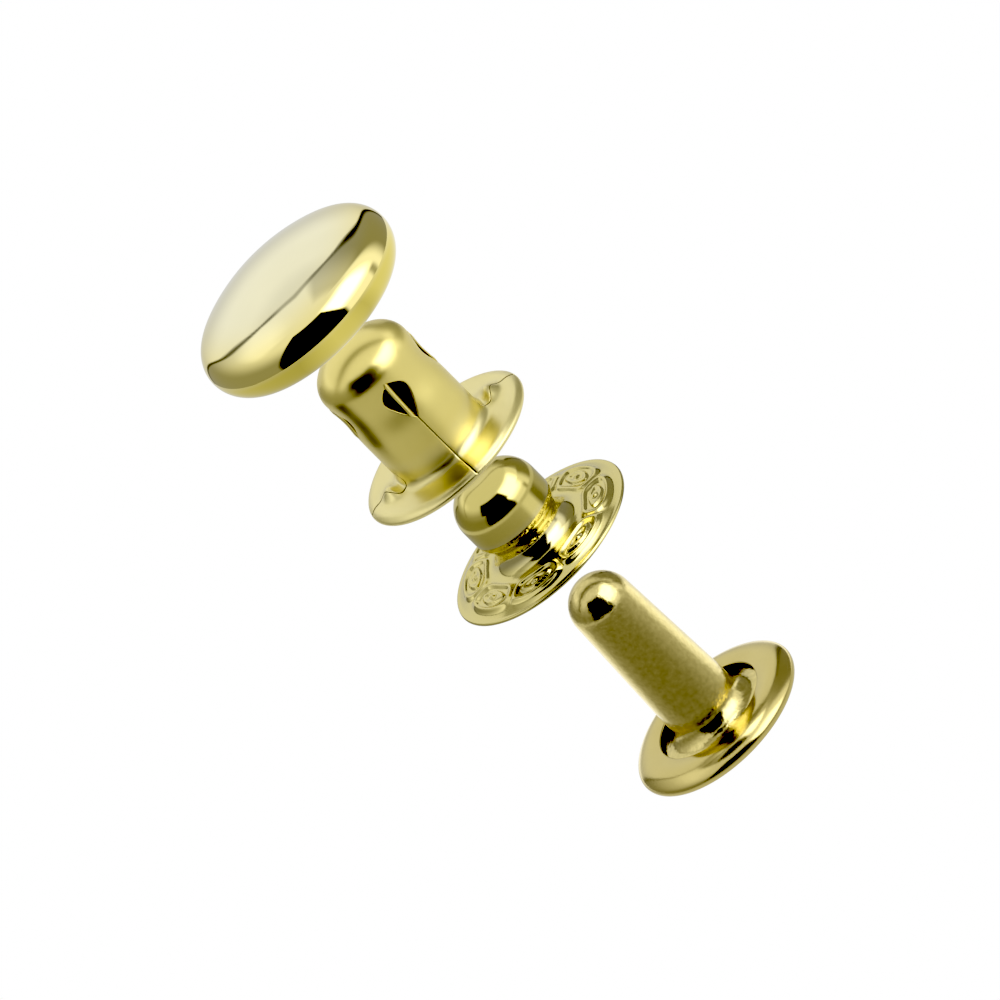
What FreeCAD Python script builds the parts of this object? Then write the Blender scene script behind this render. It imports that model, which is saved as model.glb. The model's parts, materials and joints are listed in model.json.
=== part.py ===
import FreeCAD, Part
import os
import re
import Sketcher

# A four-part press stud for leather, drawn apart along its axis (+Z): post, stud, socket and cap.
# Every part is a thin pressed sheet turned about the axis. Lengths are in millimetres, angles in degrees.

SIZES = {
    # Post: a base shell rolled over the flange of a hollow, slightly tapered stem.
    "base_radius": 5.46,
    "base_edge": 0.35,
    "base_sweep": 45.0,
    "crest_radius": 4.1,
    "lip_radius": 3.48,
    "lip_height": 1.02,
    "base_wall": 0.22,
    "stem_tip": 1.9,
    "stem_taper": 2.4,
    "stem_height": 12.1,
    "stem_foot": 1.1,
    "stem_seat": 0.79,
    "stem_flange": 4.5,
    "stem_wall": 0.24,
    # Stud: hollow head on a waisted neck, and a flange with eight raised eyes.
    "stud_level": 15.42,
    "stud_turn": 22.5,
    "stud_radius": 5.77,
    "stud_wall": 0.2,
    "stud_rim": 5.6,
    "stud_field": 4.95,
    "stud_rise": 0.3,
    "stud_drop": 0.06,
    "head_radius": 2.6,
    "head_flat": 0.72,
    "head_base": 2.63,
    "head_height": 5.54,
    "neck_curve": 1.2,
    "neck_sweep": 33.0,
    "eye_count": 8,
    "eye_circle": 4.25,
    "eye_width": 2.5,
    "eye_depth": 1.35,
    "eye_line": 0.2,
    "eye_dot": 0.24,
    "eye_height": 0.1,
    # Socket: flange, slotted barrel with a waist, and a closed dome.
    "socket_level": 23.48,
    "socket_turn": 2.5,
    "socket_radius": 5.37,
    "socket_wall": 0.33,
    "barrel_radius": 2.99,
    "barrel_foot": 0.5,
    "barrel_top": 4.3,
    "waist_curve": 5.15,
    "dome_radius": 2.97,
    "dome_base": 6.62,
    "dome_shoulder": 1.45,
    "dome_sweep": 54.2,
    "slit_count": 4,
    "slit_width": 0.08,
    "leaf_base": 3.7,
    "leaf_middle": 5.34,
    "leaf_top": 6.3,
    "leaf_width": 1.66,
    "leaf_curve": 2.2,
    "leaf_shoulder": 1.3,
    "tongue_width": 0.2,
    # Cap: pillow-shaped shell, rolled in underneath over a ring plate with an upturned collar.
    "cap_level": 33.94,
    "cap_radius": 6.35,
    "cap_edge": 1.7,
    "cap_shoulder": 1.54,
    "cap_sweep": 62.0,
    "cap_opening": 4.25,
    "cap_wall": 0.28,
    "collar_radius": 3.06,
    "collar_round": 0.4,
    "collar_height": 1.5,
    "collar_flange": 4.6,
}

document = FreeCAD.newDocument("PressStud")


def make_sheet():
    """Put the driving sizes into a spreadsheet, one named cell each."""
    sheet = document.addObject("Spreadsheet::Sheet", "Sizes")
    for row, (name, value) in enumerate(SIZES.items(), start=1):
        sheet.set(f"A{row}", name)
        sheet.set(f"B{row}", str(value))
        sheet.setAlias(f"B{row}", name)
    document.recompute()
    return sheet


SHEET = make_sheet()


def bound(expression):
    """The same expression with each size named as a cell of the sheet."""
    return re.sub(r"[a-z]\w*", lambda word: "Sizes." + word[0] if word[0] in SIZES else word[0], expression)


def value(expression):
    """The number that an expression on the sizes gives."""
    return float(SHEET.evalExpression(expression))


def make_body(name, level="0", turn="0"):
    """A body standing on the axis at its height in the drawn-apart set."""
    body = document.addObject("PartDesign::Body", name)
    body.Label = name
    body.setExpression("Placement.Base.z", bound(level))
    body.setExpression("Placement.Rotation.Angle", bound(turn))
    return body


def make_sketch(body, name, role):
    """An empty sketch on one of the body's own origin planes."""
    sketch = body.newObject("Sketcher::SketchObject", name)
    plane = next(item for item in body.Origin.OriginFeatures if item.Role == role)
    sketch.AttachmentSupport = (plane, [""])
    sketch.MapMode = "FlatFace"
    return sketch


def line_to(x, y):
    """A straight step of an outline, to the point x, y."""
    return x, y, None


def arc_to(x, y, radius):
    """An arc step to the point x, y. A radius with a minus sign turns clockwise."""
    return x, y, radius


def add_arc(sketch, start, end, radius):
    """Add the shorter arc from start to end. Return its index and the numbers of its two ends."""
    chord = end - start
    side = FreeCAD.Vector(-chord.y, chord.x, 0).normalize()
    distance = max(radius ** 2 - (chord.Length / 2) ** 2, 0) ** 0.5
    centre = (start + end) / 2 + side * (distance if radius > 0 else -distance)
    first, last = (start, end) if radius > 0 else (end, start)
    across = FreeCAD.Vector(1, 0, 0)
    angles = [across.getAngle(point - centre) * (1 if point.y >= centre.y else -1) for point in (first, last)]
    circle = Part.Circle(centre, FreeCAD.Vector(0, 0, 1), abs(radius))
    index = sketch.addGeometry(Part.ArcOfCircle(circle, angles[0], angles[1]))
    return (index, 1, 2) if radius > 0 else (index, 2, 1)


def bind(sketch, constraint, expression):
    """Add a dimension to the sketch and bind it to the sheet."""
    index = sketch.addConstraint(constraint)
    sketch.setExpression(f"Constraints[{index}]", bound(expression))


def place_point(sketch, edge, end, x, y):
    """Hold one end of an edge at x, y. A coordinate of 0 puts it on the sketch's own axis."""
    if x == "0":
        sketch.addConstraint(Sketcher.Constraint("PointOnObject", edge, end, -2))
    else:
        bind(sketch, Sketcher.Constraint("DistanceX", -1, 1, edge, end, value(x)), x)
    if y == "0":
        sketch.addConstraint(Sketcher.Constraint("PointOnObject", edge, end, -1))
    else:
        bind(sketch, Sketcher.Constraint("DistanceY", -1, 1, edge, end, value(y)), y)


def add_outline(sketch, steps):
    """Draw a closed outline of lines and arcs, with each point and each radius bound to the sheet."""
    points = [FreeCAD.Vector(value(x), value(y), 0) for x, y, _ in steps]
    edges = []
    for number, (_, _, radius) in enumerate(steps):
        start, end = points[number - 1], points[number]
        if radius is None:
            edges.append((sketch.addGeometry(Part.LineSegment(start, end)), 1, 2))
        else:
            edges.append(add_arc(sketch, start, end, value(radius)))
            bind(sketch, Sketcher.Constraint("Radius", edges[-1][0], abs(value(radius))), radius.lstrip("-"))
    for number, (x, y, _) in enumerate(steps):
        edge, _, end = edges[number]
        following, beginning, _ = edges[(number + 1) % len(edges)]
        sketch.addConstraint(Sketcher.Constraint("Coincident", edge, end, following, beginning))
        place_point(sketch, edge, end, x, y)


def revolve(body, steps):
    """Turn an outline about the part's axis."""
    sketch = make_sketch(body, body.Name + "_outline", "XZ_Plane")
    add_outline(sketch, steps)
    turned = body.newObject("PartDesign::Revolution", body.Name + "_turned")
    turned.Profile = sketch
    turned.ReferenceAxis = (sketch, ["V_Axis"])
    turned.Angle = 360
    sketch.Visibility = False
    document.recompute()


def repeat_about_axis(body, features, name, count):
    """Repeat features around the part's axis."""
    pattern = body.newObject("PartDesign::PolarPattern", name)
    pattern.Originals = features
    axis = next(item for item in body.Origin.OriginFeatures if item.Role == "Z_Axis")
    pattern.Axis = (axis, [""])
    pattern.Angle = 360
    pattern.setExpression("Occurrences", bound(count))
    body.Tip = pattern
    document.recompute()


def crown(radius, shoulder, sweep, level, middle="0"):
    """A shoulder arc that rises from a side wall, and the flatter arc that goes on from it to the top.

    Returns the point where the arcs meet, the flatter arc's radius and the height of its top.
    """
    meet_x = f"({radius} - {shoulder} + {shoulder} * cos({sweep}))"
    meet_y = f"({level} + {shoulder} * sin({sweep}))"
    flat = f"(({meet_x} - {middle}) / cos({sweep}))"
    top = f"({meet_y} + {flat} * (1 - sin({sweep})))"
    return meet_x, meet_y, flat, top


def make_post_base():
    """Closed base shell whose edge is rolled up and over the stem's flange."""
    shape = ("base_radius", "base_edge", "base_sweep", "base_edge", "crest_radius")
    meet_x, meet_y, flat, top = crown(*shape)
    inner = ("base_radius - base_wall", "(base_edge - base_wall)", "base_sweep", "base_edge", "crest_radius")
    inner_x, inner_y, inner_flat, inner_top = crown(*inner)
    drop = f"({top} - lip_height)"
    lip_curve = f"(((crest_radius - lip_radius)^2 + {drop}^2) / (2 * {drop}))"
    body = make_body("post_base")
    revolve(body, [
        line_to("0", "0"),
        line_to("base_radius - base_edge", "0"),
        arc_to("base_radius", "base_edge", "base_edge"),
        arc_to(meet_x, meet_y, "base_edge"),
        arc_to("crest_radius", top, flat),
        arc_to("lip_radius", "lip_height", lip_curve),
        line_to("lip_radius", "lip_height - base_wall"),
        arc_to("crest_radius", inner_top, f"-({lip_curve})"),
        arc_to(inner_x, inner_y, f"-({inner_flat})"),
        arc_to("base_radius - base_wall", "base_edge", "-(base_edge - base_wall)"),
        arc_to("base_radius - base_edge", "base_wall", "-(base_edge - base_wall)"),
        line_to("0", "base_wall"),
    ])
    return body


def make_post_stem():
    """Hollow stem with a round closed tip, a slight taper and a flange turned down inside the base."""
    centre = "(stem_height - stem_tip)"
    hollow = "(stem_tip - stem_wall)"
    foot_top = "(stem_seat + stem_foot)"
    tip_x = "(stem_tip * cos(stem_taper))"
    tip_y = f"({centre} + stem_tip * sin(stem_taper))"
    foot_x = f"({tip_x} + ({tip_y} - {foot_top}) * tan(stem_taper))"
    body = make_body("post_stem")
    revolve(body, [
        line_to("0", "stem_height - stem_wall"),
        arc_to(f"{hollow} * cos(stem_taper)", f"{centre} + {hollow} * sin(stem_taper)", f"-{hollow}"),
        line_to(f"{foot_x} - stem_wall", foot_top),
        arc_to(f"{foot_x} + stem_foot", "stem_seat - stem_wall", "stem_foot + stem_wall"),
        line_to("stem_flange - stem_wall", "stem_seat - stem_wall"),
        line_to("stem_flange - stem_wall", "base_wall"),
        line_to("stem_flange", "base_wall"),
        line_to("stem_flange", "stem_seat"),
        line_to(f"{foot_x} + stem_foot", "stem_seat"),
        arc_to(foot_x, foot_top, "-stem_foot"),
        line_to(tip_x, tip_y),
        arc_to("0", "stem_height", "stem_tip"),
    ])
    return body


def add_eyes(body):
    """Raise a ring of plain eyes, each a lens-shaped outline with a dot, on the stud's flange."""
    sketch = make_sketch(body, "stud_eye", "XY_Plane")
    sketch.setExpression("AttachmentOffset.Base.z", bound("stud_rise + stud_wall - stud_drop - eye_height"))
    lens_curve = "((({w}) / 2)^2 + (({d}) / 2)^2) / ({d})"
    outer = lens_curve.format(w="eye_width", d="eye_depth")
    inner = lens_curve.format(w="eye_width - 4 * eye_line", d="eye_depth - 2 * eye_line")
    for half_width, curve in (("eye_width / 2", outer), ("(eye_width / 2 - 2 * eye_line)", inner)):
        add_outline(sketch, [
            arc_to("eye_circle", f"-({half_width})", curve),
            arc_to("eye_circle", half_width, curve),
        ])
    middle = FreeCAD.Vector(value("eye_circle"), 0, 0)
    dot = sketch.addGeometry(Part.Circle(middle, FreeCAD.Vector(0, 0, 1), value("eye_dot")))
    sketch.addConstraint(Sketcher.Constraint("PointOnObject", dot, 3, -1))
    bind(sketch, Sketcher.Constraint("DistanceX", -1, 1, dot, 3, value("eye_circle")), "eye_circle")
    bind(sketch, Sketcher.Constraint("Radius", dot, value("eye_dot")), "eye_dot")
    eye = body.newObject("PartDesign::Pad", "stud_eye_raised")
    eye.Profile = sketch
    eye.setExpression("Length", bound("2 * eye_height"))
    document.recompute()
    repeat_about_axis(body, [eye], "stud_eyes", "eye_count")


def make_stud():
    """Stud with a hollow head that the socket snaps over, a waisted neck and a dished flange."""
    round_top = "(head_radius - head_flat)"
    side_top = f"(head_height - {round_top})"
    neck_x = "(head_radius - neck_curve * (1 - cos(neck_sweep)))"
    neck_y = "(head_base - neck_curve * sin(neck_sweep))"
    field = "(stud_rise + stud_wall)"
    flare = f"(({neck_y} - {field}) / (1 + sin(neck_sweep)))"
    flare_x = f"({neck_x} + {flare} * cos(neck_sweep))"
    return_x = f"({neck_x} - stud_wall * cos(neck_sweep))"
    return_y = f"({neck_y} + stud_wall * sin(neck_sweep))"
    body = make_body("stud", "stud_level", "stud_turn")
    revolve(body, [
        line_to("stud_radius", "0"),
        line_to("stud_radius", "stud_wall"),
        line_to("stud_rim", "stud_wall"),
        line_to("stud_field", f"{field} - stud_drop"),
        line_to(flare_x, field),
        arc_to(neck_x, neck_y, f"-({flare})"),
        arc_to("head_radius", "head_base", "neck_curve"),
        line_to("head_radius", side_top),
        arc_to("head_flat", "head_height", round_top),
        line_to("0", "head_height"),
        line_to("0", "head_height - stud_wall"),
        line_to("head_flat", "head_height - stud_wall"),
        arc_to("head_radius - stud_wall", side_top, f"-({round_top} - stud_wall)"),
        line_to("head_radius - stud_wall", "head_base"),
        arc_to(return_x, return_y, "-(neck_curve - stud_wall)"),
        arc_to(flare_x, "stud_rise", f"{flare} + stud_wall"),
        line_to("stud_field", "stud_rise - stud_drop"),
        line_to("stud_rim", "0"),
    ])
    add_eyes(body)
    return body


def cut_outwards(body, outlines, name):
    """Cut outlines through the side of the body that faces -Y."""
    sketch = make_sketch(body, name + "_outline", "XZ_Plane")
    for outline in outlines:
        add_outline(sketch, outline)
    cut = body.newObject("PartDesign::Pocket", name)
    cut.Profile = sketch
    cut.setExpression("Length", bound("2 * socket_radius"))
    cut.Reversed = True
    sketch.Visibility = False
    document.recompute()
    return cut


def cut_slits(body):
    """Part the barrel and flange into petals: slits that end in leaf-shaped holes, each with a tongue."""
    tongue, widest = "(tongue_width / 2)", "(leaf_width / 2)"
    leaf_halves = [[
        line_to(tongue, "leaf_base"),
        arc_to(widest, "leaf_middle", "leaf_curve"),
        arc_to(tongue, "leaf_top", "leaf_shoulder"),
    ], [
        line_to(f"-{tongue}", "leaf_top"),
        arc_to(f"-{widest}", "leaf_middle", "leaf_shoulder"),
        arc_to(f"-{tongue}", "leaf_base", "leaf_curve"),
    ]]
    slit_side = f"({tongue} + slit_width)"
    slit = [
        line_to(tongue, "-slit_width"),
        line_to(slit_side, "-slit_width"),
        line_to(slit_side, "leaf_base + 3 * slit_width"),
        line_to(tongue, "leaf_base + 3 * slit_width"),
    ]
    holes = cut_outwards(body, leaf_halves, "socket_leaf")
    slits = cut_outwards(body, [slit], "socket_slit")
    repeat_about_axis(body, [holes, slits], "socket_petals", "slit_count")


def make_socket():
    """Socket with four spring petals hanging from its closed dome."""
    body = make_body("socket", "socket_level", "socket_turn")
    meet_x, meet_y, flat, top = crown("dome_radius", "dome_shoulder", "dome_sweep", "dome_base")
    inner_shoulder = "(dome_shoulder - socket_wall)"
    inner = ("(dome_radius - socket_wall)", inner_shoulder, "dome_sweep", "dome_base")
    inner_x, inner_y, inner_flat, inner_top = crown(*inner)
    foot_x = "(barrel_radius + barrel_foot)"
    revolve(body, [
        line_to("socket_radius", "0"),
        line_to("socket_radius", "socket_wall"),
        line_to(foot_x, "socket_wall"),
        arc_to("barrel_radius", "socket_wall + barrel_foot", "-barrel_foot"),
        line_to("barrel_radius", "barrel_top"),
        arc_to("dome_radius", "dome_base", "-waist_curve"),
        arc_to(meet_x, meet_y, "dome_shoulder"),
        arc_to("0", top, flat),
        line_to("0", inner_top),
        arc_to(inner_x, inner_y, f"-{inner_flat}"),
        arc_to("dome_radius - socket_wall", "dome_base", f"-{inner_shoulder}"),
        arc_to("barrel_radius - socket_wall", "barrel_top", "waist_curve + socket_wall"),
        line_to("barrel_radius - socket_wall", "socket_wall + barrel_foot"),
        arc_to(foot_x, "0", "barrel_foot + socket_wall"),
    ])
    cut_slits(body)
    return body


def make_cap_shell():
    """Pillow-shaped cap: gentle crown, round sides, and an edge rolled in underneath."""
    meet_x, meet_y, flat, top = crown("cap_radius", "cap_shoulder", "cap_sweep", "cap_edge")
    inner_shoulder = "(cap_shoulder - cap_wall)"
    inner = ("(cap_radius - cap_wall)", inner_shoulder, "cap_sweep", "cap_edge")
    inner_x, inner_y, inner_flat, inner_top = crown(*inner)
    body = make_body("cap_shell", "cap_level")
    revolve(body, [
        line_to("cap_opening", "0"),
        line_to("cap_radius - cap_edge", "0"),
        arc_to("cap_radius", "cap_edge", "cap_edge"),
        arc_to(meet_x, meet_y, "cap_shoulder"),
        arc_to("0", top, flat),
        line_to("0", inner_top),
        arc_to(inner_x, inner_y, f"-{inner_flat}"),
        arc_to("cap_radius - cap_wall", "cap_edge", f"-{inner_shoulder}"),
        arc_to("cap_radius - cap_edge", "cap_wall", "-(cap_edge - cap_wall)"),
        line_to("cap_opening", "cap_wall"),
    ])
    return body


def make_cap_collar():
    """Ring plate lying on the cap's rolled edge, with an upturned collar for the socket's dome."""
    outer = "(collar_radius + cap_wall)"
    plate_top = "(2 * cap_wall)"
    body = make_body("cap_collar", "cap_level")
    revolve(body, [
        arc_to(f"{outer} + collar_round", "cap_wall", "collar_round + cap_wall"),
        line_to("collar_flange", "cap_wall"),
        line_to("collar_flange", plate_top),
        line_to(f"{outer} + collar_round", plate_top),
        arc_to(outer, f"{plate_top} + collar_round", "-collar_round"),
        line_to(outer, "collar_height"),
        line_to("collar_radius", "collar_height"),
        line_to("collar_radius", f"{plate_top} + collar_round"),
    ])
    return body


def check_features():
    """Stop if any feature of the document failed."""
    for item in document.Objects:
        if "Invalid" in item.State or "Error" in item.State:
            raise RuntimeError(f"{item.Name} failed: {item.State}")


def check_solid(body):
    """Stop if the body isn't one valid solid."""
    if body.Shape.isNull() or not body.Shape.isValid() or len(body.Shape.Solids) != 1:
        raise RuntimeError(f"{body.Label} is not one valid solid")


def main():
    os.makedirs("parts", exist_ok=True)
    makers = (make_post_base, make_post_stem, make_stud, make_socket, make_cap_shell, make_cap_collar)
    bodies = [make() for make in makers]
    document.recompute()
    check_features()
    for body in bodies:
        check_solid(body)
        body.Shape.exportStep(f"parts/{body.Label}.step")
        print(body.Label, round(body.Shape.Volume, 2), "mm3", body.Shape.BoundBox)


main()
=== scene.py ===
"""Looks of a brass press stud set, drawn apart along one upright axis: post, stud, socket and cap.

Every piece is pressed from thin sheet, so each is built here as a sheet of revolution: the curve of its
outer side, a thickness, and rounded edges. Curves are in millimetres above the piece's own lowest point,
and the meshes are in metres.
"""
import json
import math

import bmesh
import bpy
import numpy as np
from mathutils import Matrix, Vector

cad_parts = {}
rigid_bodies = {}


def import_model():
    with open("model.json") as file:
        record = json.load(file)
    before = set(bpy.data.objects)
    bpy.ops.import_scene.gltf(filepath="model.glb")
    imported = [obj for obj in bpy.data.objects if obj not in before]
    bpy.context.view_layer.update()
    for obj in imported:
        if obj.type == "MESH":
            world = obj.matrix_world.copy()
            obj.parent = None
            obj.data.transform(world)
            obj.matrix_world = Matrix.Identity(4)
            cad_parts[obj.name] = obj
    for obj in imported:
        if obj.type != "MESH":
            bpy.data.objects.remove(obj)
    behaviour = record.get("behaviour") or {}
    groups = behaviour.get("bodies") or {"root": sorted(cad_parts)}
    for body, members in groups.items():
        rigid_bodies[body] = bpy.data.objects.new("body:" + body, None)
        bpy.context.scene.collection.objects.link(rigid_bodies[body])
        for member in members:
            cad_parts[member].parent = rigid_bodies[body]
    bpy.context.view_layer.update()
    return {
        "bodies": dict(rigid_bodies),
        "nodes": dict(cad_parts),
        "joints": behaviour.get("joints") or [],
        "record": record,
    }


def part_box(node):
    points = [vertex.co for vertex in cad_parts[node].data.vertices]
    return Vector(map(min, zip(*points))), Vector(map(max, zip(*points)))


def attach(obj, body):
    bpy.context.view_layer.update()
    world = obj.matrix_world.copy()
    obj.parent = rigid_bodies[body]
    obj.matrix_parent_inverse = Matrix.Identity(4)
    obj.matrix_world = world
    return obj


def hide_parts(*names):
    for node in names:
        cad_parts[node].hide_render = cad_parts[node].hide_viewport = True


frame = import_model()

MM = 0.001
AROUND = 240       # vertices in a ring, where nothing finer is asked for
ON_AXIS = 1e-6     # a radius under this, in millimetres, counts as the axis
DOUBLES = 1e-5     # vertices closer than this, in millimetres, become one
BLACK = 0.1        # scene brightness that the picture shows as black

# Brightness of the white ground under each part, by azimuth from the front (-Y) towards +X, in degrees.
POST_GROUND = [(0, 0.36), (20, 0.38), (40, 0.45), (62, 0.57), (85, 0.7), (100, 1.3), (122, 1.5), (142, 1.1),
               (180, 1.0), (220, 1.3), (240, 0.96), (258, 0.52), (280, 0.43), (300, 0.36)]
STUD_GROUND = [(0, 0.52), (22, 0.6), (34, 1.0), (58, 1.0), (70, 0.32), (84, 0.35), (100, 0.57), (180, 0.5),
               (270, 0.44), (330, 0.48)]
SOCKET_GROUND = [(0, 0.56), (15, 0.64), (32, 0.84), (80, 0.84), (120, 0.74), (180, 0.8), (240, 0.64),
                 (340, 0.62)]
CAP_GROUND = [(0, 0.8), (15, 0.78), (30, 0.68), (45, 0.85), (100, 0.92), (180, 0.8), (240, 0.7), (310, 0.57),
              (330, 0.54), (345, 0.68)]


# ---------------------------------------------------------------- curves

def arc(centre, radius, start, end, steps=32):
    """Points on an arc about a centre, from one angle to another in degrees."""
    angles = np.radians(np.linspace(start, end, steps))
    return np.column_stack([centre[0] + radius * np.cos(angles), centre[1] + radius * np.sin(angles)])


def resample(points, spacing):
    """The same curve with evenly spaced points."""
    steps = np.linalg.norm(np.diff(points, axis=0), axis=1)
    keep = np.concatenate([[True], steps > 1e-9])
    points = points[keep]
    along = np.concatenate([[0], np.cumsum(np.linalg.norm(np.diff(points, axis=0), axis=1))])
    even = np.linspace(0, along[-1], max(2, round(along[-1] / spacing)) + 1)
    return np.column_stack([np.interp(even, along, points[:, axis]) for axis in (0, 1)])


def soften(points, spacing, reach):
    """Even out a curve's bends over a reach, so that reflections run on smoothly. The ends stay.

    A curve that ends on the axis is mirrored there, so that its crown stays level.
    """
    points = resample(points, spacing)
    window = max(1, round(reach / spacing))
    kernel = np.hanning(2 * window + 3)[1:-1]
    kernel /= kernel.sum()
    first = 2 * points[0] - points[1:window + 1][::-1]
    last = 2 * points[-1] - points[-window - 1:-1][::-1]
    if points[-1, 0] < ON_AXIS:
        last = points[-window - 1:-1][::-1] * (-1, 1)
    padded = np.concatenate([first, points, last])
    return np.column_stack([np.convolve(padded[:, axis], kernel, "valid") for axis in (0, 1)])


def ease(value, low, high):
    """Rise smoothly from 0 at low to 1 at high."""
    share = np.clip((value - low) / (high - low), 0, 1)
    return share * share * (3 - 2 * share)


def hump(value, middle, spread):
    """A smooth bump of height 1."""
    return np.exp(-((value - middle) / spread) ** 2 / 2)


def normals_of(points):
    """Unit vectors to the left of a curve's direction."""
    along = np.gradient(points, axis=0)
    along /= np.linalg.norm(along, axis=1)[:, None]
    return np.column_stack([-along[:, 1], along[:, 0]])


def sheet_outline(outer, thickness, edge_steps=6, thin=1):
    """Closed section of a sheet: its outer curve, and its inner side to the left, joined by round edges.

    An end that lies on the axis gets no edge. thin keeps one in so many points of the inner side.
    """
    left = normals_of(outer)
    for end in (0, -1):
        if outer[end, 0] < ON_AXIS:
            left[end] = (0, np.sign(left[end, 1]))
    inner = outer + left * thickness
    turn = np.radians(np.linspace(0, 180, edge_steps + 2)[1:-1])[:, None]

    def edge(point, other, outward):
        middle, half = (point + other) / 2, (point - other) / 2
        return middle + half * np.cos(turn) + outward * thickness / 2 * np.sin(turn)

    along = np.gradient(outer, axis=0)
    pieces = [outer]
    if outer[-1, 0] > ON_AXIS:
        pieces.append(edge(outer[-1], inner[-1], along[-1] / np.linalg.norm(along[-1])))
    kept = np.unique(np.append(np.arange(0, len(inner), thin), len(inner) - 1))
    pieces.append(inner[kept][::-1])
    if outer[0, 0] > ON_AXIS:
        pieces.append(edge(inner[0], outer[0], -along[0] / np.linalg.norm(along[0])))
    return np.concatenate(pieces)


# ---------------------------------------------------------------- meshes

def finish_mesh(name, vertices, faces, shaded_faces=()):
    """Make a smooth object from vertices in millimetres, without doubles and loose edges, facing outwards.

    shaded_faces lists the faces that take the second material, a painted shade.
    """
    mesh = bpy.data.meshes.new(name)
    mesh.from_pydata((np.asarray(vertices) * MM).tolist(), [], faces)
    for face in shaded_faces:
        mesh.polygons[face].material_index = 1
    work = bmesh.new()
    work.from_mesh(mesh)
    bmesh.ops.remove_doubles(work, verts=work.verts, dist=DOUBLES * MM)
    bmesh.ops.delete(work, geom=[edge for edge in work.edges if not edge.link_faces], context="EDGES")
    bmesh.ops.recalc_face_normals(work, faces=work.faces)
    work.to_mesh(mesh)
    work.free()
    mesh.polygons.foreach_set("use_smooth", [True] * len(mesh.polygons))
    mesh.update()
    piece = bpy.data.objects.new(name, mesh)
    bpy.context.scene.collection.objects.link(piece)
    return piece


def around(radius, height, angle):
    """Points at a radius, a height and an angle from the front (-Y) towards +X."""
    return np.stack([radius * np.sin(angle), -radius * np.cos(angle), height], -1)


def bridge(first, count, second, other):
    """Faces between two rings, whose vertices are numbered from first and second. One ring may be finer."""
    rings = min(count, other)
    step, next_step = count // rings, other // rings
    faces = []
    for place in range(rings):
        near = [first + (place * step + number) % count for number in range(step + 1)]
        far = [second + (place * next_step + number) % other for number in range(next_step + 1)]
        faces.append(near[::-1] + far)
    return faces


def turn(name, section, level, relief=None, counts=AROUND):
    """Turn a closed section about the axis. relief(radius, height, angle) lifts points by millimetres.

    counts gives the vertices of each ring: one number, or a function of the radius.
    """
    vertices, firsts, sizes = [], [], []
    first = 0
    for radius, height in section:
        size = counts(radius) if callable(counts) else counts
        angle = np.linspace(0, 2 * np.pi, size, endpoint=False)
        lift = relief(radius, height, angle) if relief else 0
        vertices.append(around(np.full(size, radius), height + level + lift + 0 * angle, angle))
        firsts.append(first)
        sizes.append(size)
        first += size
    closed = section[0, 0] > ON_AXIS or section[-1, 0] > ON_AXIS
    faces = []
    for number in range(len(section) if closed else len(section) - 1):
        following = (number + 1) % len(section)
        faces += bridge(firsts[number], sizes[number], firsts[following], sizes[following])
    return finish_mesh(name, np.concatenate(vertices), faces)


def level_of(node):
    """Height of a CAD node's lowest point at rest, in millimetres."""
    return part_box(node)[0].z / MM


def radius_of(node):
    """Largest radius of a CAD node, in millimetres."""
    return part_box(node)[1].x / MM


def height_of(node):
    """Height of a CAD node from its lowest point, in millimetres."""
    low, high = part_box(node)
    return (high.z - low.z) / MM


# ---------------------------------------------------------------- materials

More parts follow.
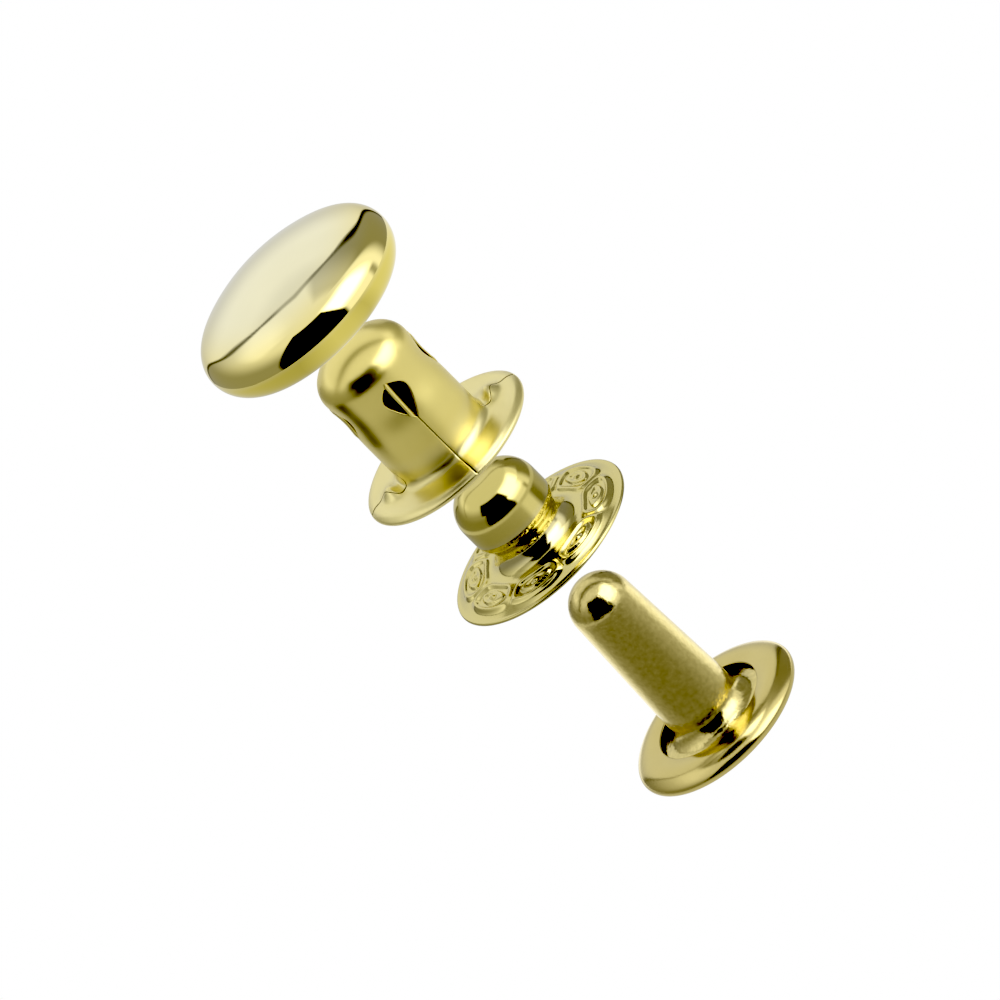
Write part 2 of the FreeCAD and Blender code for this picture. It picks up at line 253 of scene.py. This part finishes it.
def brass(name, colour, roughness, coat=0.0, mottle=(0.0, 420.0), grain=(0.0, 2600.0), wave=0.0, fades=()):
    """Polished or satin brass under a thin lacquer, with slight unevenness of colour, polish and surface.

    mottle and grain are the strength and the scale of patches of colour and of fine bumps, and wave is the
    strength of broad bumps. Each fade is (colour, low, high): a colour that holds below the height low, in
    metres, and is gone at high. The fades are painted reflection: the tint, paler in some places and deeper
    in others, that the brass's reflections show at those heights.
    """
    material = bpy.data.materials.new(name)
    material.use_nodes = True
    nodes, links = material.node_tree.nodes, material.node_tree.links
    shader = nodes["Principled BSDF"]
    shader.inputs["Metallic"].default_value = 1.0
    shader.inputs["Coat Weight"].default_value = coat
    shader.inputs["Coat Roughness"].default_value = 0.03
    shader.inputs["Coat IOR"].default_value = 1.7
    place = nodes.new("ShaderNodeTexCoord")

    def noise(scale, detail):
        node = nodes.new("ShaderNodeTexNoise")
        node.inputs["Scale"].default_value = scale
        node.inputs["Detail"].default_value = detail
        links.new(place.outputs["Object"], node.inputs["Vector"])
        return node.outputs["Fac"]

    cloud = noise(mottle[1], 4.0)
    tint = nodes.new("ShaderNodeMixRGB")
    darker, lighter = 1 - 0.04 - mottle[0], 1.03
    tint.inputs["Color1"].default_value = (*[channel * darker for channel in colour], 1)
    tint.inputs["Color2"].default_value = (*[min(1, channel * lighter) for channel in colour], 1)
    links.new(cloud, tint.inputs["Fac"])
    shown = tint.outputs["Color"]
    if fades:
        split = nodes.new("ShaderNodeSeparateXYZ")
        links.new(place.outputs["Object"], split.inputs["Vector"])
    for lower, low, high in fades:
        fade = nodes.new("ShaderNodeMapRange")
        fade.interpolation_type = "SMOOTHSTEP"
        fade.inputs["From Min"].default_value = low
        fade.inputs["From Max"].default_value = high
        links.new(split.outputs["Z"], fade.inputs["Value"])
        blend = nodes.new("ShaderNodeMixRGB")
        blend.inputs["Color1"].default_value = (*lower, 1)
        links.new(fade.outputs["Result"], blend.inputs["Fac"])
        links.new(shown, blend.inputs["Color2"])
        shown = blend.outputs["Color"]
    links.new(shown, shader.inputs["Base Color"])

    polish = nodes.new("ShaderNodeMapRange")
    polish.inputs["To Min"].default_value = roughness * 0.8
    polish.inputs["To Max"].default_value = roughness * 1.25
    links.new(cloud, polish.inputs["Value"])
    links.new(polish.outputs["Result"], shader.inputs["Roughness"])

    normal = None
    broad, fine = (wave, 700.0, 1.0, 0.00006), (*grain, 3.0, 0.00002)
    for strength, scale, detail, depth in (broad, fine):
        if strength:
            bump = nodes.new("ShaderNodeBump")
            bump.inputs["Strength"].default_value = strength
            bump.inputs["Distance"].default_value = depth
            links.new(noise(scale, detail), bump.inputs["Height"])
            if normal:
                links.new(normal, bump.inputs["Normal"])
            normal = bump.outputs["Normal"]
    if normal:
        links.new(normal, shader.inputs["Normal"])
    return material


def glow(name, painted=True, one_sided=False):
    """White studio light, as bright as its mesh is painted. A one-sided one can't be seen from behind."""
    material = bpy.data.materials.new(name)
    material.use_nodes = True
    material.cycles.emission_sampling = "NONE"
    nodes, links = material.node_tree.nodes, material.node_tree.links
    nodes.clear()
    light = nodes.new("ShaderNodeEmission")
    output = nodes.new("ShaderNodeOutputMaterial")
    links.new(light.outputs["Emission"], output.inputs["Surface"])
    if painted:
        paint = nodes.new("ShaderNodeAttribute")
        paint.attribute_name = "glow"
        links.new(paint.outputs["Fac"], light.inputs["Strength"])
    if one_sided:
        side = nodes.new("ShaderNodeNewGeometry")
        clear = nodes.new("ShaderNodeBsdfTransparent")
        choice = nodes.new("ShaderNodeMixShader")
        links.new(side.outputs["Backfacing"], choice.inputs["Fac"])
        links.new(light.outputs["Emission"], choice.inputs[1])
        links.new(clear.outputs["BSDF"], choice.inputs[2])
        links.new(choice.outputs["Shader"], output.inputs["Surface"])
    return material


# ---------------------------------------------------------------- pieces

def darken(piece, material, chosen):
    """Give a second material, a dark brass that paints shade, to the faces that chosen(radius, height,
    outwards, upwards) picks.

    The radius and height, in millimetres, are those of the face's middle. The last two are its normal's
    share away from the axis and its share up.
    """
    piece.data.materials.append(material)
    for face in piece.data.polygons:
        centre, normal = face.center / MM, face.normal
        radius = math.hypot(centre.x, centre.y)
        outwards = (normal.x * centre.x + normal.y * centre.y) / max(radius, 1e-6)
        if chosen(radius, centre.z, outwards, normal.z):
            face.material_index = 1


def faces_in(outwards, upwards):
    """Whether a normal with these shares points down or towards the axis, as on the inside of a shell."""
    return upwards < -0.3 or (outwards < -0.2 and upwards < 0.3)


def add_piece(piece, node, body, material):
    """Let a piece stand for a CAD node and ride on its body."""
    piece.data.materials.append(material)
    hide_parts(node)
    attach(piece, body)


def make_post_base(material, inside):
    """Closed base shell, rolled up and over the stem's flange.

    lip is the radius and height of its free edge, which curls down from the crest's radius.
    """
    wall, edge, sweep, crest, lip = 0.22, 0.35, 45, 4.1, (3.48, 1.06)
    outer_radius, top = radius_of("post_base"), height_of("post_base")
    shoulder = arc((outer_radius - edge, edge), edge, -90, sweep)
    flat = (shoulder[-1, 0] - crest) / math.cos(math.radians(sweep))
    roll = arc((crest, top - flat), flat, sweep, 90)
    drop = top - lip[1]
    curl = ((crest - lip[0]) ** 2 + drop ** 2) / (2 * drop)
    lean = math.degrees(math.asin((crest - lip[0]) / curl))
    inward = arc((crest, top - curl), curl, 90, 90 + lean)
    outer = soften(np.concatenate([[(0, 0)], shoulder, roll, inward]), 0.05, 0.2)
    piece = turn("post_base_shell", sheet_outline(outer, wall), level_of("post_base"))
    add_piece(piece, "post_base", "post", material)
    # Faces turned in under the rolled lip take the painted shade.
    darken(piece, inside, lambda radius, height, outwards, upwards:
           radius < outer_radius - wall / 2 and wall / 2 < height < lip[1] and faces_in(outwards, upwards))


def make_post_stem(material, inside):
    """Hollow stem with a closed round tip, a slight taper, a flared foot and a flange.

    seat is the height of the flange's upper side above the ground, and taper is in degrees.
    """
    wall, tip, taper, foot, seat, corner, rim = 0.24, 1.9, 2.4, 1.1, 0.79, 0.3, 0.05
    flange = radius_of("post_stem")
    top = height_of("post_stem")
    slope = math.radians(taper)
    tip_low = (tip * math.cos(slope), top - tip + tip * math.sin(slope))
    foot_top = seat - level_of("post_stem") + foot
    foot_radius = tip_low[0] + (tip_low[1] - foot_top) * math.tan(slope)
    bend = arc((flange - corner, foot_top - foot - corner), corner, 0, 90)
    flare = arc((foot_radius + foot, foot_top), foot, 270, 180)
    dome = arc((0, top - tip), tip, taper, 90, 64)
    outer = soften(np.concatenate([[(flange, rim)], bend, flare, dome]), 0.08, 0.2)
    piece = turn("post_stem_tube", sheet_outline(outer, wall), level_of("post_stem"))
    add_piece(piece, "post_stem", "post", material)
    # The flange past the flared foot, under the base's lip, takes the painted shade.
    darken(piece, inside, lambda radius, height, outwards, upwards: radius > foot_radius + foot)


def stud_curve():
    """Outer side of the stud, from the rim of its flange over the neck to the top of its head."""
    wall, rim, field, rise, drop = 0.2, 5.6, 4.95, 0.3, 0.06
    head, flat, base, neck, sweep = 2.6, 0.72, 2.63, 1.2, 33
    outer_radius, top = radius_of("stud"), 5.54
    bend = math.radians(sweep)
    neck_point = (head - neck * (1 - math.cos(bend)), base - neck * math.sin(bend))
    flare = (neck_point[1] - rise - wall) / (1 + math.sin(bend))
    flare_x = neck_point[0] + flare * math.cos(bend)
    shoulder = head - flat
    return np.concatenate([
        [(outer_radius, wall), (rim, wall), (field, rise + wall - drop)],
        arc((flare_x, rise + wall + flare), flare, 270, 180 - sweep),
        arc((head - neck, base), neck, -sweep, 0),
        arc((flat, top - shoulder), shoulder, 0, 90),
        [(0, top)],
    ])


def eye_relief(radius, height, angle):
    """Height of the eight pressed eyes on the stud's flange: a frame, a lens inside it and a dot."""
    circle, turned, count = 4.25, math.radians(22.5), 8
    field = (3.0, 5.3)
    frame_size, lens_size = (1.46, 0.80), (1.02, 0.46)
    if not field[0] < radius < field[1]:
        return 0
    pitch = 2 * np.pi / count
    across = ((angle - turned + pitch / 2) % pitch - pitch / 2) * circle
    out = radius - circle
    frame = (np.abs(across / frame_size[0]) ** 3 + np.abs(out / frame_size[1]) ** 3) ** (1 / 3)
    lens = np.abs(across / lens_size[0]) ** 1.5 + np.abs(out / lens_size[1]) ** 1.5
    dot = np.hypot(across, out)
    line = 0.15 * hump(frame, 1.0, 0.12)
    plate = 0.14 * ease(1.2 - lens, 0, 0.36) - 0.07 * ease(0.66 - lens, 0, 0.34)
    return line + plate + 0.13 * hump(dot, 0, 0.13)


def make_stud(material):
    """Hollow head on a waisted neck, and a dished flange with eight raised eyes."""
    wall, field, fine, coarse = 0.2, 3.1, 768, 256
    section = sheet_outline(soften(stud_curve(), 0.066, 0.15), wall, thin=2)
    piece = turn("stud_shell", section, level_of("stud"), eye_relief,
                 lambda radius: fine if radius > field else coarse)
    add_piece(piece, "stud", "stud", material)


def socket_curve():
    """Outer side of the socket, from the rim of its flange over the barrel to the middle of its dome."""
    wall, barrel, foot, dip, waist = 0.33, 2.99, 0.5, 0.125, (3.4, 6.9)
    dome, base, shoulder, sweep = 2.97, 6.62, 1.45, 54.2
    droop, bend, rim = 0.22, 0.5, radius_of("socket")
    turned = math.radians(sweep)
    meet = (dome - shoulder + shoulder * math.cos(turned), base + shoulder * math.sin(turned))
    crown = meet[0] / math.cos(turned)
    outer = resample(np.concatenate([
        [(rim, wall)],
        arc((barrel + foot, wall + foot), foot, 270, 180),
        arc((dome - shoulder, base), shoulder, 0, sweep),
        arc((0, meet[1] - crown * math.sin(turned)), crown, sweep, 90, 64),
    ]), 0.03)
    along = np.clip((outer[:, 1] - waist[0]) / (waist[1] - waist[0]), 0, 1)
    outer[:, 0] -= dip * np.sin(np.pi * along) ** 2
    outer[:, 1] -= droop * np.clip((outer[:, 0] - rim + bend) / bend, 0, 1) ** 2
    return outer


def socket_ears(radius, height, angle):
    """Height of the small humps that the petals' corners form beside the barrel, at the two side slits."""
    tall, circle, deep, middle, wide = 0.55, 3.78, 0.36, -0.1, 0.6
    side = (np.abs((angle + np.pi) % (2 * np.pi) - np.pi) - np.pi / 2) * radius
    share = ease(radius, 3.0, 3.3) * ease(1.2 - height, 0, 0.5)
    return share * tall * hump(radius, circle, deep) * hump(side, middle, wide)


def socket_gap(height):
    """Half width of the opening between two petals: a slit that widens into a leaf-shaped hole."""
    slit, bottom, top, widest, bulge = 0.006, 3.76, 6.38, 0.83, 0.70
    share = np.clip((top - height) / (top - bottom), 0, 1)
    leaf = widest * np.sin(np.pi * share ** bulge) ** (1.55 - 0.6 * share)
    return np.where(height >= top, 0, np.maximum(leaf, slit))


def socket_seam(number, radius, height):
    """Angle by which a side slit bends towards the front on the flange and at the barrel's foot."""
    if number % 2 == 0:
        return 0 * radius
    bend = math.radians(17) * ease(4.25 - radius, 0, 0.75) * ease(2.2 - height, 0, 1.6)
    back = math.radians(0.5 if number == 1 else 5.3) * ease(radius, 3.6, 4.4)
    return back - bend if number == 1 else bend - back


def add_tongue(outer, seam, first):
    """Vertices and faces of a narrow strip across a leaf-shaped hole, twisted and leaning to one side.

    It runs from the slit under the hole to a point above the hole. first is its first vertex's number.
    """
    low, high, half, thickness, lean, twist = 3.62, 6.82, 0.125, 0.10, 0.14, 0.055
    spine = resample(outer[(outer[:, 1] > low) & (outer[:, 1] < high)], 0.08)
    out = -normals_of(spine)
    share = np.linspace(0, 1, len(spine))
    width = half * (ease(share, -0.1, 0.12) * (1 - ease(share, 0.82, 1.0)) + 0.04)
    middle = lean * share - 0.17
    risen = ease(share, 0, 0.2) * (1 - ease(share, 0.75, 1))
    vertices = []
    corners = ((-1, 0), (0, 0.02), (1, 0), (1, -thickness), (-1, -thickness))
    for across, depth in corners:
        lift = 0.012 * risen - 0.04 * (1 - risen) + depth - twist * across * risen
        radius = spine[:, 0] + out[:, 0] * lift
        angle = seam + (middle + across * width) / spine[:, 0]
        vertices.append(around(radius, spine[:, 1] + out[:, 1] * lift + level_of("socket"), angle))
    count = len(spine)
    starts = [first + side * count for side in range(len(corners))]
    faces = [(start + row, following + row, following + row + 1, start + row + 1)
             for start, following in zip(starts, starts[1:] + starts[:1]) for row in range(count - 1)]
    faces.append(starts)
    faces.append([start + count - 1 for start in reversed(starts)])
    return np.concatenate(vertices), faces


def make_socket(material, inside):
    """Socket with four spring petals hanging from its dome, parted by slits with leaf-shaped holes."""
    wall, petals, columns, turned = 0.33, 4, 60, math.radians(2.5)
    rounding, crown, slit_top = 0.06, 1.5, 3.76
    outer = soften(socket_curve(), 0.075, 0.2)
    rows = len(outer)
    section = sheet_outline(outer, wall)
    rim_rows = np.arange(2 * rows, len(section))
    inner_rows = 2 * rows - 1 - np.arange(rows)
    normal = normals_of(outer)
    gap = socket_gap(outer[:, 1]) / np.maximum(outer[:, 0], 0.1)
    gap[outer[:, 0] < crown] = 0
    steps = np.concatenate([[0, 0.01, 0.025, 0.05], np.linspace(0.1, 1.0, columns // 2)[:-1]])
    half = np.concatenate([steps, [1.0]]) / 2
    share = np.concatenate([half, 1 - half[-2::-1]])
    vertices, faces, shaded_faces = [], [], []
    for petal in range(petals):
        left = petal * np.pi / 2 + socket_seam(petal, outer[:, 0], outer[:, 1]) + gap
        following = (petal + 1) % petals
        right = (petal + 1) * np.pi / 2 + socket_seam(following, outer[:, 0], outer[:, 1]) - gap
        spread = left[:, None] + (right - left)[:, None] * share[None, :]
        angle = np.concatenate([spread, spread[::-1], np.repeat(spread[:1], len(rim_rows), 0)])
        arc_length = np.minimum(share, 1 - share)[None, :] * (right - left)[:, None] * outer[:, :1]
        open_here = (gap > 0)[:, None]
        edge = np.clip(1 - arc_length / rounding, 0, 1)
        sink = rounding * (1 - np.sqrt(1 - edge ** 2 * 0.98)) * open_here
        inner_sink = sink[::-1]
        radius = np.repeat(section[:, :1], len(share), 1)
        height = np.repeat(section[:, 1:], len(share), 1)
        radius[:rows] += sink * normal[:, :1]
        height[:rows] += sink * normal[:, 1:]
        radius[rows:2 * rows] -= inner_sink * normal[::-1, :1]
        height[rows:2 * rows] -= inner_sink * normal[::-1, 1:]
        height += socket_ears(radius, height, angle)
        first = len(vertices) * len(share) * len(section)
        vertices.append(around(radius, height + level_of("socket"), angle + turned).reshape(-1, 3))
        count = len(share)
        for row in range(len(section)):
            if row == rows - 1:
                continue
            below = (row + 1) % len(section)
            # Along the slit under the leaf, the two outermost columns take the painted shade, so the slit
            # reads as a dark groove.
            if row < rows and outer[row, 1] < slit_top:
                shaded_faces += [len(faces), len(faces) + count - 2]
            faces += [(first + row * count + column, first + row * count + column + 1,
                       first + below * count + column + 1, first + below * count + column)
                      for column in range(count - 1)]
        for side in (first, first + count - 1):
            faces += [(side + row * count, side + (row + 1) * count,
                       side + inner_rows[row + 1] * count, side + inner_rows[row] * count)
                      for row in range(rows - 1) if gap[row] > 0]
            faces.append([side + row * count for row in (0, *rim_rows[::-1], inner_rows[0])])
    for petal in range(petals):
        strip, strip_faces = add_tongue(outer, petal * np.pi / 2 + turned, sum(map(len, vertices)))
        vertices.append(strip)
        faces += strip_faces
    piece = finish_mesh("socket_petals", np.concatenate(vertices), faces, shaded_faces)
    add_piece(piece, "socket", "socket", material)
    bore = 2.8
    low, high = level_of("socket") + 1.0, level_of("socket") + height_of("socket") - wall / 2
    # Faces inside the socket's bore take the painted shade.
    darken(piece, inside, lambda radius, height, outwards, upwards:
           radius < bore and low < height < high and faces_in(outwards, upwards))


def make_cap_shell(material):
    """Pillow-shaped cap with its edge rolled in underneath."""
    wall, edge, shoulder, sweep, opening = 0.28, 1.7, 1.54, 62, 4.25
    outer_radius, top = radius_of("cap_shell"), height_of("cap_shell")
    side = arc((outer_radius - shoulder, edge), shoulder, 0, sweep)
    crown = side[-1, 0] / math.cos(math.radians(sweep))
    outer = soften(np.concatenate([
        [(opening + 0.1, 0)],
        arc((outer_radius - edge, edge), edge, -90, 0),
        side,
        arc((0, top - crown), crown, sweep, 90, 64),
    ]), 0.07, 0.5)
    piece = turn("cap_dome", sheet_outline(outer, wall), level_of("cap_shell"))
    add_piece(piece, "cap_shell", "cap", material)


def make_cap_collar(material):
    """Ring plate on the cap's rolled edge, with an upturned collar."""
    wall, bore, bend = 0.28, 3.06, 0.4
    flange, top = radius_of("cap_collar"), height_of("cap_collar")
    outer = soften(np.concatenate([
        [(flange - 0.1, 0)],
        arc((bore + bend + wall, bend + wall), bend + wall, 270, 180),
        [(bore, top - wall / 2)],
    ]), 0.04, 0.08)
    piece = turn("cap_ring_plate", sheet_outline(outer[::-1], wall), level_of("cap_collar"))
    add_piece(piece, "cap_collar", "cap", material)


# ---------------------------------------------------------------- studio

def direction(azimuth, elevation):
    """Unit vector at an azimuth from the front (-Y) towards +X and an elevation, in degrees."""
    turned, raised = math.radians(azimuth), math.radians(elevation)
    level = math.cos(raised)
    return Vector((math.sin(turned) * level, -math.cos(turned) * level, math.sin(raised)))


def polar(points):
    """Distance from the axis, in millimetres, and azimuth, in degrees, of points in metres."""
    return np.hypot(points[:, 0], points[:, 1]) / MM, np.degrees(np.arctan2(points[:, 0], -points[:, 1]))


def lay(tone, other, share):
    """Cover a share, from 0 to 1, of a brightness with another brightness."""
    return tone + (other - tone) * share


def patch(azimuth, elevation, azimuths, elevations, blur=(4, 4)):
    """How far, from 0 to 1, each direction lies in a soft-edged patch of the surroundings, in degrees."""
    middle, half = sum(azimuths) / 2, (azimuths[1] - azimuths[0]) / 2
    aside = np.abs((azimuth - middle + 180) % 360 - 180)
    across = 1 - ease(aside, half - blur[0], half + blur[0])
    low, high = elevations
    above = ease(elevation, low - blur[1], low + blur[1])
    return across * above * (1 - ease(elevation, high - blur[1], high + blur[1]))


def beyond_sweep(behind, elevation):
    """Degrees by which a direction lies outside the arched white sweep behind the set.

    It is negative inside the arch. behind is the angle from straight behind.
    """
    top, width = 64, 25.5 + 0.14 * np.clip(elevation, -20, 63)
    half = width * np.clip(1 - (np.maximum(elevation, 0) / top) ** 8, 0, 1) ** 0.67
    peak = top * np.clip(1 - (np.abs(behind) / width) ** 1.5, 0, 1) ** 0.125
    beside = np.where(elevation < top, np.abs(behind) - half, 90)
    over = np.where(np.abs(behind) < width, elevation - peak, 90)
    within = -np.minimum(np.abs(beside), np.abs(over))
    return np.where(beside < 0, within, np.minimum(beside, over))


def surroundings(azimuth, elevation):
    """Brightness of the studio in each direction: the tent, and the cards and lights in front of it."""
    tone = 0.40 + 0.55 * ease(elevation, 8, 55)
    dim_side = patch(azimuth, elevation, (100, 165), (-30, 76), (6, 6))
    tone = lay(tone, 0.38 + 0.3 * ease(elevation, 45, 70), dim_side)
    left_window = patch(azimuth, elevation, (-150, -90), (46, 70), (14, 8))
    tone = lay(tone, 1.12, left_window)

    # The white sweep behind the set, with a dark seam round it that is broader and darker on the right.
    behind = azimuth % 360 - 180
    outside = beyond_sweep(behind, elevation)
    on_seam = ease(outside, -1.4, 0.2)
    right = ease(-behind, 19, 25) * (1 - ease(elevation, 38, 50))
    seam = on_seam * (1 - ease(outside, 1.2, 3.0 + 2.5 * right))
    strength = 0.5 + 0.45 * right + 0.3 * ease(behind, 12, 24)
    tone = lay(tone, 0.72 + 0.23 * ease(elevation, 0, 28) - 0.1 * ease(elevation, 45, 60), 1 - on_seam)
    tone = lay(tone, 0.05, seam * strength)

    # A white wall on the right with a softbox in it, and a thin grey stand at its far end.
    white_wall = patch(azimuth, elevation, (8, 98), (-40, 64), (11, 6))
    softbox = patch(azimuth, elevation, (12, 72), (12, 62), (12, 12))
    stand = patch(azimuth, elevation, (70, 80), (-16, 4), (4, 6))
    tone = lay(tone, 1.15, white_wall)
    tone = lay(tone, 2.7, softbox)
    tone = lay(tone, 0.45, stand)

    # The dark card round the camera, narrower towards its top.
    half, taper, middle, lean = 42, 14, -15.5, 1.5
    rise = np.clip(elevation / 60, 0, 1)
    across = (azimuth - middle + lean * rise + 180) % 360 - 180
    camera_card = patch(across * half / (half - taper * rise), elevation, (-half, half), (-40, 61), (3, 3))
    return lay(tone, 0.02, camera_card)


def ring_tones(azimuth, tones):
    """Brightness round a ground, blended between (azimuth, brightness) marks."""
    marks, values = np.array(tones).T
    return np.interp(azimuth % 360, marks, values, period=360)


def floor_tone(place):
    """Brightness of the floor in reflections: even under the post and far off, the studio past its edge."""
    under_post, far_off = 0.78, 0.75
    distance, azimuth = polar(place)
    tone = ring_tones(azimuth, POST_GROUND)
    tone = lay(tone, under_post, 1 - ease(distance, 5.5, 8))
    tone = lay(tone, far_off, ease(distance, 32, 50))
    return lay(tone, surroundings(azimuth, 0 * azimuth), ease(distance, 88, 98))


def add_stage(name, vertices, faces, material, tones=None):
    """Add a surface of the studio. A painted one shows in reflections and not to the camera."""
    mesh = bpy.data.meshes.new(name)
    mesh.from_pydata(np.asarray(vertices).tolist(), [], faces)
    mesh.materials.append(material)
    stage = bpy.data.objects.new(name, mesh)
    if tones is not None:
        mesh.attributes.new("glow", "FLOAT", "POINT").data.foreach_set("value", tones.astype(np.float32))
        stage.visible_camera = False
    bpy.context.scene.collection.objects.link(stage)


def make_tent():
    """A dome round the set, painted with what a photographer's light tent looks like from inside.

    It reaches to lowest, in degrees, under the horizon. Its size is in metres.
    """
    size, columns, rows, lowest = 1.2, 360, 140, -20
    elevation, azimuth = np.meshgrid(np.linspace(lowest, 90, rows),
                                     np.linspace(-180, 180, columns, endpoint=False), indexing="ij")
    turned, raised = np.radians(azimuth), np.radians(elevation)
    points = around(size * np.cos(raised), size * np.sin(raised), turned).reshape(-1, 3)
    faces = []
    for row in range(rows - 1):
        faces += [face[::-1] for face in bridge(row * columns, columns, (row + 1) * columns, columns)]
    add_stage("tent", points, faces, glow("tent_light"), surroundings(azimuth, elevation).ravel())


def disc(radii, height, columns=180):
    """Vertices and faces, facing up, of a disc with rings at the given radii, in metres."""
    distance, azimuth = np.meshgrid(radii, np.linspace(0, 2 * np.pi, columns, endpoint=False), indexing="ij")
    points = around(distance, 0 * distance + height, azimuth).reshape(-1, 3)
    faces = [tuple(range(columns))]
    for ring in range(len(radii) - 1):
        faces += bridge(ring * columns, columns, (ring + 1) * columns, columns)
    return points, faces


def make_floor():
    """A wide white floor under the post, and just over it the tones that the brass reflects."""
    half, gap = 1.5, 0.00002
    corners = [(x, y, -2 * gap) for x, y in ((-half, -half), (half, -half), (half, half), (-half, half))]
    add_stage("floor", corners, [(0, 1, 2, 3)], glow("floor_white", painted=False))
    points, faces = disc(np.geomspace(0.001, 1.4, 120), -gap)
    add_stage("floor_tones", points, faces, glow("floor_light"), floor_tone(points))


def make_ground(name, height, radius, tones, spot=None):
    """A white table of its own under a raised part, which only that part reflects. Sizes in millimetres.

    spot is a dark card on it: its two azimuths, in degrees, its nearest radius and its brightness.
    """
    points, faces = disc(np.geomspace(0.5, radius, 60) * MM, height * MM)
    distance, azimuth = polar(points)
    tone = ring_tones(azimuth, tones)
    if spot:
        azimuths, nearest, brightness = spot
        tone = lay(tone, brightness, patch(azimuth, distance, azimuths, (nearest, 2 * radius), (4, 1)))
    add_stage(name, points, faces, glow(name + "_light", one_sided=True), tone)


def make_ceiling(name, height, shoulder, seam, strength=0.6, spread=0.12):
    """The tent's own light just over a part, in place of the underside of the part above it.

    shoulder is the radius and height of the part's round edge, from which the tent is seen. seam is how far
    behind the axis a straight seam of the tent lies, strength how dark it is, and spread its half width.
    Sizes are in millimetres.
    """
    points, faces = disc(np.linspace(0.05, 7.5, 150) * MM, height * MM)
    distance, azimuth = polar(points)
    out = np.maximum(distance - shoulder[0], 0)
    elevation = np.degrees(np.arctan2(height - shoulder[1], out))
    seam_tone = 0.2
    tone = lay(surroundings(azimuth, elevation), seam_tone, strength * hump(points[:, 1] / MM, seam, spread))
    add_stage(name, points, [face[::-1] for face in faces], glow(name + "_light", one_sided=True), tone)


def make_studio():
    """White surroundings, the tent, the floor, tables and ceilings, with a photograph's deep blacks."""
    scene = bpy.context.scene
    view = scene.view_settings
    view.view_transform = "Standard"
    view.use_curve_mapping = True
    view.curve_mapping.black_level = [BLACK] * 3
    view.curve_mapping.update()
    world = bpy.data.worlds.new("white")
    world.use_nodes = True
    world.node_tree.nodes["Background"].inputs["Color"].default_value = (1, 1, 1, 1)
    scene.world = world
    make_tent()
    make_floor()
    apart = 0.1
    cap_table = level_of("cap_shell") - 1.04
    socket_table = level_of("socket") - 0.98
    stud_table = level_of("stud") - 1.62
    make_ground("cap_ground", cap_table, 12.5, CAP_GROUND)
    make_ground("socket_ground", socket_table, 40, SOCKET_GROUND, ((-116, -88), 12.0, 0.0))
    make_ground("stud_ground", stud_table, 15.5, STUD_GROUND)
    make_ceiling("socket_ceiling", cap_table - apart, (2.55, 31.13), -1.1, 0.9, 0.2)
    make_ceiling("stud_ceiling", socket_table - apart, (2.05, 20.4), 0.92)
    make_ceiling("post_ceiling", stud_table - apart, (1.34, 11.54), -0.3, 0.9, 0.3)


def make_camera():
    """A long lens from the front and above, rolled so that the axis runs along the frame's diagonal."""
    elevation, distance, roll, shift = 24.7, 0.3756, 45, 0.000108
    target = Vector((0, 0, 0.01892))
    back = direction(0, elevation)
    rise = Vector((0, math.sin(math.radians(elevation)), math.cos(math.radians(elevation))))
    side = Vector((1, 0, 0))
    up = side * math.sin(math.radians(roll)) + rise * math.cos(math.radians(roll))
    right = side * math.cos(math.radians(roll)) - rise * math.sin(math.radians(roll))
    data = bpy.data.cameras.new("camera")
    data.lens, data.sensor_width = 250, 36
    data.clip_start, data.clip_end = 0.05, 10
    camera = bpy.data.objects.new("camera", data)
    target += up * shift
    camera.matrix_world = Matrix.Translation(target + back * distance) @ Matrix(
        (right, up, back)).transposed().to_4x4()
    bpy.context.scene.collection.objects.link(camera)
    bpy.context.scene.camera = camera


# ---------------------------------------------------------------- the scene

cap_level = level_of("cap_shell") * MM
gold = (0.87, 0.765, 0.33)
# The cap's pale crown and deep gold lower edge are painted reflection, set by height.
cap_brass = brass("cap_brass", (0.90, 0.86, 0.62), 0.04, coat=0.15,
                  fades=[((0.87, 0.775, 0.37), cap_level + 0.0026, cap_level + 0.0040),
                         ((0.85, 0.74, 0.25), cap_level + 0.0014, cap_level + 0.0019)])
socket_level = level_of("socket") * MM
# The socket's paler flange is a painted reflection tint.
socket_brass = brass("socket_brass", gold, 0.33, coat=0.12, mottle=(0.05, 420.0), wave=0.12,
                     fades=[((0.86, 0.78, 0.41), socket_level + 0.0010, socket_level + 0.0024)])
# The stud's and the post's brass are darker copies of the same brass: a painted shade.
stud_level = level_of("stud") * MM
# The stud's paler neck and flange are a painted reflection tint.
stud_brass = brass("stud_brass", (0.69, 0.61, 0.27), 0.14, wave=0.05,
                   fades=[((0.70, 0.64, 0.38), stud_level + 0.0022, stud_level + 0.0030),
                          ((0.70, 0.63, 0.31), stud_level + 0.0006, stud_level + 0.0010)])
post_brass = brass("post_brass", (0.67, 0.58, 0.28), 0.17, mottle=(0.05, 420.0), grain=(0.15, 2600.0),
                   wave=0.12)
stem_brass = brass("post_stem_brass", (0.79, 0.69, 0.34), 0.17, mottle=(0.26, 3600.0), grain=(0.8, 3800.0),
                   wave=0.15)
# Near-black brass for inner and hidden faces: painted shade in the recesses.
painted_shade_brass = brass("painted_shade_brass", (0.16, 0.13, 0.05), 0.5, mottle=(0.1, 420.0))

make_post_base(post_brass, painted_shade_brass)
make_post_stem(stem_brass, painted_shade_brass)
make_stud(stud_brass)
make_socket(socket_brass, painted_shade_brass)
make_cap_shell(cap_brass)
make_cap_collar(cap_brass)
make_studio()
make_camera()
